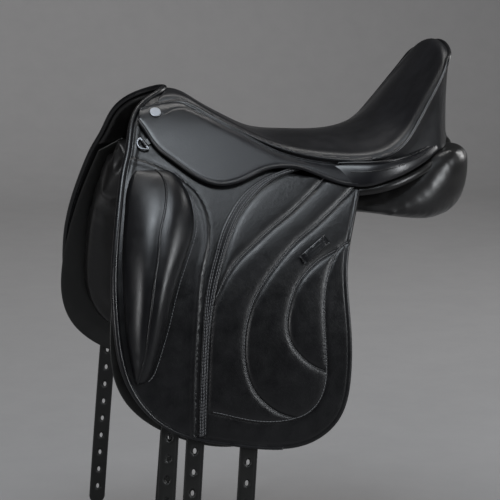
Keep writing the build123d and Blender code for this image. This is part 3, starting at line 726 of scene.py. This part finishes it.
rear_rows = []
outer_rows = [rear_outer(t, 1.6 * (abs(2 * t - 1) ** 8)) for t in rear_shares]
inner_rows = [rear_outer(t, 3.4) for t in rear_shares[::-1]]
for i in range(len(rear_top)):
    rear_rows.append([row[i] for row in outer_rows + inner_rows])
pair("cantle_skirt_leather", loft(rear_rows), SKIRT_LEATHER, replaces=["cantle_skirt"])
pair("cantle_welt", tube(rear_outer(0.0, 0.4)[6:], 2.1), TRIM_LEATHER)
pair("cantle_cord", tube(rear_outer(0.42, 0.5)[12:-3], 1.0, 8), TRIM_LEATHER)
pair("panel_roll", tube(evenly(spline(REAR_ROLL), 3.0) + (0, 0, SEAT_HEIGHT), 6.2, 14), PANEL_LEATHER)

# Skirt
skirt_ring = outline(SKIRT_FRONT, SKIRT_TOP, SKIRT_LOWER)
skirt_top_line, skirt_lower_line = spline(SKIRT_TOP), spline(SKIRT_LOWER)
skirt_creases = [beside(skirt_lower_line, 4.2), spline([(-199, 30), (-180, 37), (-160, 36), (-140, 28)])]


def skirt_relief(flat):
    """Tooled double crease along the lower edge, and a top that dips under the seat's piping."""
    top = to_line(flat, skirt_top_line)
    creases = sum(bell(to_line(flat, line), 0.9) for line in skirt_creases)
    bead = 0.5 * bell(to_line(flat, skirt_lower_line) - 1.8, 1.6)
    return -2.6 * bell(top, 6.0) - 0.6 * creases + bead


pair("skirt_leather", hide(skirt_ring, on_side, SKIRT, 3.0, lines=skirt_creases, relief=skirt_relief),
     SKIRT_LEATHER, "skirt_lobe", ["skirt", "skirt_lobe"], SKIRT_FOLD)
welt_flat = beside(spline(SKIRT_TOP), 2.0)
welt_path, _ = on_side(evenly(welt_flat, 2.5), SKIRT[1] - 3.4)
pair("skirt_welt", tube(welt_path, 2.0), TRIM_LEATHER)

# Flap: one piece of leather over the fold, quilted, with a smooth border
flap_front = spline(FLAP_FRONT)
flap_ring = outline(FLAP_FRONT, FLAP_TOP)
strip_rear, strip_front = spline(STRIP_REAR), spline(STRIP_FRONT)
quilt_lines = [spline(seam) for seam in QUILT_SEAMS]
border_line, pad_line = spline(BORDER_SEAM), spline(KNEE_PAD_SEAM)
flap_crease = evenly(beside(flap_front, -6.5), 2.0, 30, None)
seams = [*quilt_lines, border_line, pad_line]
quilt_top = [(36, -132), (48, -100), (62, -66), (20, -38), (-12, -38)]
quilted = outline(STRIP_REAR[:-1], BORDER_SEAM[::-1], quilt_top)
knee_pad = outline(KNEE_PAD_SEAM, [(-190, -374), (-320, -374)], [(-320, -374), (-320, -22)])
flap_tuck = spline(FLAP_TOP[-4:])


def flap_relief(flat):
    """Seams pull the leather down, it swells between them over the padding, a rounded band runs
    round the knee pad, and the top dips under the seat."""
    nearest = np.min([to_line(flat, line) for line in quilt_lines + [border_line, strip_rear]], axis=0)
    padded = inside(flat, quilted)
    swell = np.where(padded, 2.9 * (1 - np.exp(-nearest / 4.2)), 0.0)
    grooves = -0.9 * bell(nearest, 1.6)
    pad = to_line(flat, pad_line)
    band = np.where(inside(flat, knee_pad), 1.9 * bell(pad - 4.2, 3.4), -0.9 * bell(pad, 1.8))
    roll = 1.6 * bell(to_line(flat, flap_front) - 11.0, 2.6) * (1 - step_up(-flat[:, 1], 30, 60))
    tucked = -3.6 * bell(to_line(flat, flap_tuck), 9.0)
    return swell + grooves + band + roll + tucked - 0.5 * bell(to_line(flat, flap_crease), 1.0)


pair("flap_leather", hide(flap_ring, on_side, FLAP, 3.2, lines=seams + [flap_crease], relief=flap_relief),
     FLAP_LEATHER, "flap", ["flap", "flap_top"], FLAP_FOLD)
pair("flap_strip_leather", hide(outline(STRIP_REAR, STRIP_FRONT), on_side, STRIP, 3.5), TRIM_LEATHER,
     "flap", ["flap_strip"], FLAP_FOLD)

edge_flat = evenly(flap_front, 2.5, 0, 640)
edge_path, _ = on_side(beside(edge_flat, -1.6), FLAP[1] - 0.9)
edge_path = np.vstack([[(-183.5, -1.0, 60.2 + SEAT_HEIGHT), (-184.5, -5.0, 60.0 + SEAT_HEIGHT)], edge_path])
edge_radius = np.interp(np.arange(len(edge_path)), [0, 150, 185, len(edge_path)], [4.3, 4.3, 2.4, 2.0])
pair("flap_edge_piping", tube(edge_path, edge_radius, 12), TRIM_LEATHER, "flap", (),
     FLAP_FOLD)

sewn = []
for line in quilt_lines + [border_line]:
    trimmed = evenly(beside(line, 2.2), 2.0, 5.0, lengths(line)[-1] - 5.0)
    sewn.append(stitches(trimmed, on_side, FLAP[1] + 0.1, flap_relief))
for inset in (2.2, 4.6):
    sewn.append(stitches(beside(strip_rear, inset), on_side, STRIP[1]))
    sewn.append(stitches(beside(strip_front, inset), on_side, STRIP[1]))
pair("flap_stitching", joined(*sewn), THREAD_WITH_PAINTED_SHEEN, "flap", (), FLAP_FOLD)

# Knee block
block = spline(KNEE_BLOCK, 4.0)
block_rows, block_ridge, block_rear_line = [], [], []
for height, front, ridge, rear, stands in block:
    across = []
    for t in np.linspace(0, 1, 9):
        valley = 0.10 * math.exp(-(((1 - t) / 0.22) ** 2))
        rise = math.sin(t * math.pi / 2) ** 0.7
        across.append((front + (ridge - front) * t, stands * (rise - valley)))
    for t in np.linspace(0.12, 1, 9):
        valley = 0.10 * math.exp(-((t / 0.2) ** 2))
        fall = (1 - t**2.4) ** 0.85 * (1 - 0.12 * t)
        across.append((ridge + (rear - ridge) * t, stands * (fall - valley)))
    across = np.array(across)
    base, _ = on_side(np.column_stack([across[:, 0], np.full(len(across), height)]))
    wrinkle = 0.3 * np.sin(height / 3.2 + across[:, 0] * 0.12) * step_up(-height, 235, 270)
    flush = np.zeros(len(across))
    raised = base - np.column_stack([flush, across[:, 1] + 0.3 + wrinkle, flush])
    floor = base[::-1] - np.array([0, 0.25, 0])
    block_rows.append(np.concatenate([raised, floor[1:-1]]))
    block_ridge.append(raised[8])
    block_rear_line.append((rear - 5, height))
pair("knee_block_leather", loft(block_rows[::-1]), BLOCK_LEATHER, "flap",
     ["knee_block"], FLAP_FOLD)
block_seam = np.array(block_rear_line)[3:]
pair("knee_block_stitching", stitches(block_seam + (9, 0), on_side, FLAP[1] + 0.2), THREAD_WITH_PAINTED_SHEEN,
     "flap", (), FLAP_FOLD)
pair("knee_block_piping", tube(block_ridge, 1.7), TRIM_LEATHER, "flap", (), FLAP_FOLD)

# Keeper on the flap, with three ridges
angle = math.radians(KEEPER_ANGLE)
along, over = np.array([math.cos(angle), math.sin(angle)]), np.array([-math.sin(angle), math.cos(angle)])
keeper_centre = np.array(KEEPER_CENTRE, float)
keeper_points = [keeper_centre + along * a * KEEPER_SIZE[0] / 2 + over * b * KEEPER_SIZE[1] / 2
                 for a, b in CORNERS]
keeper_ring = polygon(keeper_points, 1.5)


def keeper_relief(flat):
    a = (flat - keeper_centre) @ along
    b = (flat - keeper_centre) @ over
    ridges = 0.6 * np.cos(b * 2 * math.pi / (KEEPER_SIZE[1] / 4))
    return ridges - 2.2 * step_up(np.abs(a), KEEPER_SIZE[0] / 2 - 7, KEEPER_SIZE[0] / 2 - 1)


pair("keeper_leather", hide(keeper_ring, on_side, KEEPER, 1.6, relief=keeper_relief), TRIM_LEATHER,
     "flap", ["keeper"])

# Sweat flaps, and the lining in the head
pair("sweat_flap_leather", hide(outline(SWEAT_FLAP_EDGE, SWEAT_FLAP_TOP), on_side, SWEAT_FLAP, 6.0),
     STRAP_LEATHER, replaces=["sweat_flap"])
LINING_FRONT = [(-258, -30), (-250, -12), (-238, 22), (-226, 36), (-208, 46), (-189, 55)]
LINING_REAR = [(-186, 55), (-206, 42), (-215, 22), (-219, 0), (-218, -28)]
lining = hide(outline(LINING_FRONT, LINING_REAR), on_side, HEAD_LINING, 4.0)
piece("head_lining_felt", joined(lining, mirrored(lining)), PANEL_LEATHER,
      replaces=["head_lining"])

# Girth straps
for strap_name, (strap_x, first_hole) in STRAPS.items():
    holes_at = [first_hole - HOLE_PITCH * count for count in range(HOLE_COUNT)]

    def centre(height):
        return strap_x + STRAP_LEAN * (height - STRAP_DATUM)

    turns = np.linspace(0, 2 * math.pi, 15)[:-1]
    hole_width, hole_height = HOLE_HALF_SIZE[0] * np.cos(turns), HOLE_HALF_SIZE[1] * np.sin(turns)
    holes = [np.column_stack([centre(z) + hole_width, z + hole_height]) for z in holes_at]
    tip = holes_at[-1] - TIP_BELOW_HOLE
    half = STRAP_WIDTH / 2
    tip_arc = [(centre(tip) + half * math.cos(t), tip - TIP_LENGTH * math.sin(t))
               for t in np.linspace(0, math.pi, 16)]
    front_edge = [(centre(STRAP_TOP) + half, STRAP_TOP), tip_arc[0]]
    rear_edge = [tip_arc[-1], (centre(STRAP_TOP) - half, STRAP_TOP)]
    ring = outline(front_edge, tip_arc, rear_edge, step=3.0)
    creases = [np.array([(centre(z) + side * 9.3, z) for z in np.arange(-340.0, tip, -3.0)])
               for side in (-1, 1)]

    def strap_relief(flat):
        return -0.4 * (bell(to_line(flat, creases[0]), 0.8) + bell(to_line(flat, creases[1]), 0.8))

    bend = (f"{strap_name}_strap_swing", 6, 6)
    replaced = [f"{strap_name}_strap"] + (["strap_tops"] if strap_name == "front" else [])
    pair(f"{strap_name}_strap_leather", hide(ring, on_side, STRAP, 4.0, creases, holes, strap_relief),
         STRAP_LEATHER, f"{strap_name}_strap", replaced, bend,
         SIDES[:1] if strap_name == "middle" else SIDES)

WEB_EDGE = [(-216, -40), (-84, -46), (-84, -62), (-216, -62)]
pair("girth_webbing", hide(polygon(WEB_EDGE, 3.0), on_side, STRAP, 5.0), WEBBING,
     replaces=["girth_web"])


# Panels
def swollen(source, voxel, shrink, cap, fullness):
    """A stuffed copy of a CAD solid: remeshed, fuller at the rear, and blown up a little by the
    cloth solver."""
    mesh = source.data.copy()
    made = bpy.data.objects.new("stuffing", mesh)
    bpy.context.scene.collection.objects.link(made)
    bpy.context.view_layer.objects.active = made
    remesh = made.modifiers.new("remesh", "REMESH")
    remesh.mode = "VOXEL"
    remesh.voxel_size = voxel
    bpy.ops.object.modifier_apply(modifier="remesh")
    smooth = made.modifiers.new("smooth", "SMOOTH")
    smooth.iterations = 24
    bpy.ops.object.modifier_apply(modifier="smooth")
    count = len(made.data.vertices)
    rest = np.zeros(count * 3)
    normal = np.zeros(count * 3)
    made.data.vertices.foreach_get("co", rest)
    made.data.vertices.foreach_get("normal", normal)
    rest, normal = rest.reshape(-1, 3), normal.reshape(-1, 3)
    start = rest - normal * shrink
    start += normal * (fullness * step_up(rest[:, 0], 0.10, 0.21))[:, None]
    made.data.vertices.foreach_set("co", start.ravel())
    cloth = made.modifiers.new("cloth", "CLOTH")
    cloth.settings.use_pressure = True
    cloth.settings.uniform_pressure_force = 4.0
    cloth.settings.effector_weights.gravity = 0.0
    cloth.settings.quality = 4
    cloth.collision_settings.use_collision = False
    for frame_number in range(1, 21):
        bpy.context.scene.frame_set(frame_number)
    shaped = made.evaluated_get(bpy.context.evaluated_depsgraph_get())
    moved = np.zeros(count * 3)
    shaped.data.vertices.foreach_get("co", moved)
    move = moved.reshape(-1, 3) - start
    size = np.linalg.norm(move, axis=1)
    allowed = np.where(normal[:, 1] < -0.35, shrink, cap)
    move *= np.minimum(1, allowed / np.maximum(size, 1e-9))[:, None]
    made.modifiers.remove(cloth)
    bpy.context.scene.frame_set(1)
    made.data.vertices.foreach_set("co", (start + move).ravel())
    finer = made.modifiers.new("finer", "SUBSURF")
    finer.levels = 1
    bpy.ops.object.modifier_apply(modifier="finer")
    vertices = np.array([v.co for v in made.data.vertices]) / MM
    faces = [tuple(p.vertices) for p in made.data.polygons]
    bpy.data.objects.remove(made)
    return vertices, faces


for made in pair("panel_stuffed", swollen(frame["nodes"]["near_panel"], 0.006, 0.0025, 0.006, 0.011),
                 PANEL_LEATHER, replaces=["panel"]):
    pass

# Finishes of the CAD pieces that stay
KEPT = {
    "tree": WOOD, "head_plate": STEEL, "stirrup_bar": STEEL, "bar_catch": STEEL,
    "catch_pin": STEEL, "bar_rivets": STEEL, "d_ring": NICKEL, "skirt_button": NICKEL,
    "d_ring_tab": TRIM_LEATHER,
}
for name, cad_node in frame["nodes"].items():
    finish = KEPT.get(name, KEPT.get(name.split("_", 1)[1] if "_" in name else name))
    if finish:
        cad_node.data.materials.clear()
        cad_node.data.materials.append(finish)

# ---------------------------------------------------------------- stage, lights and camera
low, high = cad_box
FLOOR = low[2] - 0.03
BACK_WALL, CURVE = 4.5, 1.1
profile = [(-6.0, 0.0), (BACK_WALL - CURVE, 0.0)]
profile += [(BACK_WALL - CURVE + CURVE * math.sin(a), CURVE - CURVE * math.cos(a))
            for a in np.linspace(0.1, math.pi / 2, 14)]
profile.append((BACK_WALL, 1.25))
sweep_rows = [[(x, y, FLOOR + z) for y, z in profile] for x in (-7.0, 7.0)]
stage_points, stage_faces = loft(sweep_rows, closed=False, caps=False)
stage_mesh = bpy.data.meshes.new("studio_floor")
stage_mesh.from_pydata(stage_points.tolist(), [], stage_faces)
stage_mesh.polygons.foreach_set("use_smooth", [True] * len(stage_mesh.polygons))
PAPER = surface("studio_paper", (0.27, 0.267, 0.269), (0.285, 0.281, 0.283), (0.85, 0.9))
stage_mesh.materials.append(PAPER)
floor = bpy.data.objects.new("studio_floor", stage_mesh)
bpy.context.scene.collection.objects.link(floor)


def lamp(name, place, target, size, power, colour=(1, 1, 1)):
    light = bpy.data.lights.new(name, "AREA")
    light.shape = "RECTANGLE"
    light.size, light.size_y = size
    light.energy = power
    light.color = colour
    made = bpy.data.objects.new(name, light)
    bpy.context.scene.collection.objects.link(made)
    made.location = place
    made.rotation_euler = (Vector(target) - Vector(place)).to_track_quat("-Z", "Y").to_euler()
    return made


lamp("overhead", (-0.3, -1.1, 2.3), (-0.05, 0, 0), (1.2, 0.9), 36, (0.86, 0.93, 1.0))
lamp("front_left", (-2.6, -1.9, 0.6), (0, 0, -0.1), (0.45, 1.8), 26, (0.97, 0.98, 1.0))
lamp("right_edge", (2.6, 0.9, 0.9), (0, 0, -0.05), (0.5, 1.6), 24)
lamp("front_right", (2.5, -1.9, 0.9), (0, 0, -0.1), (0.5, 1.6), 46, (0.94, 0.97, 1.0))
lamp("wall_light", (0.0, 1.2, 3.6), (0, BACK_WALL, 0.6), (4.0, 0.8), 116, (1.0, 0.985, 0.97))

world = bpy.data.worlds.new("studio")
bpy.context.scene.world = world
world.use_nodes = True
world.node_tree.nodes["Background"].inputs["Color"].default_value = (1.0, 0.99, 0.98, 1)
world.node_tree.nodes["Background"].inputs["Strength"].default_value = 0.03
bpy.context.scene.view_settings.view_transform = "Standard"

TARGET, DISTANCE = Vector((-0.0566, 0.0, -0.080)), 2.442
AZIMUTH, ELEVATION, ROLL = (math.radians(a) for a in (14.85, 11.2, 0.74))
back = Vector((-math.sin(AZIMUTH) * math.cos(ELEVATION), -math.cos(AZIMUTH) * math.cos(ELEVATION),
               math.sin(ELEVATION)))
right = Vector((math.cos(AZIMUTH), -math.sin(AZIMUTH), 0))
up = back.cross(right)
tilted_right = right * math.cos(ROLL) + up * math.sin(ROLL)
tilted_up = up * math.cos(ROLL) - right * math.sin(ROLL)
camera_data = bpy.data.cameras.new("camera")
camera_data.lens = 122.4
camera_data.sensor_width = 36.0
camera = bpy.data.objects.new("camera", camera_data)
bpy.context.scene.collection.objects.link(camera)
camera.matrix_world = Matrix.Translation(TARGET + back * DISTANCE) @ Matrix(
    (tilted_right, tilted_up, back)).transposed().to_4x4()
bpy.context.scene.camera = camera
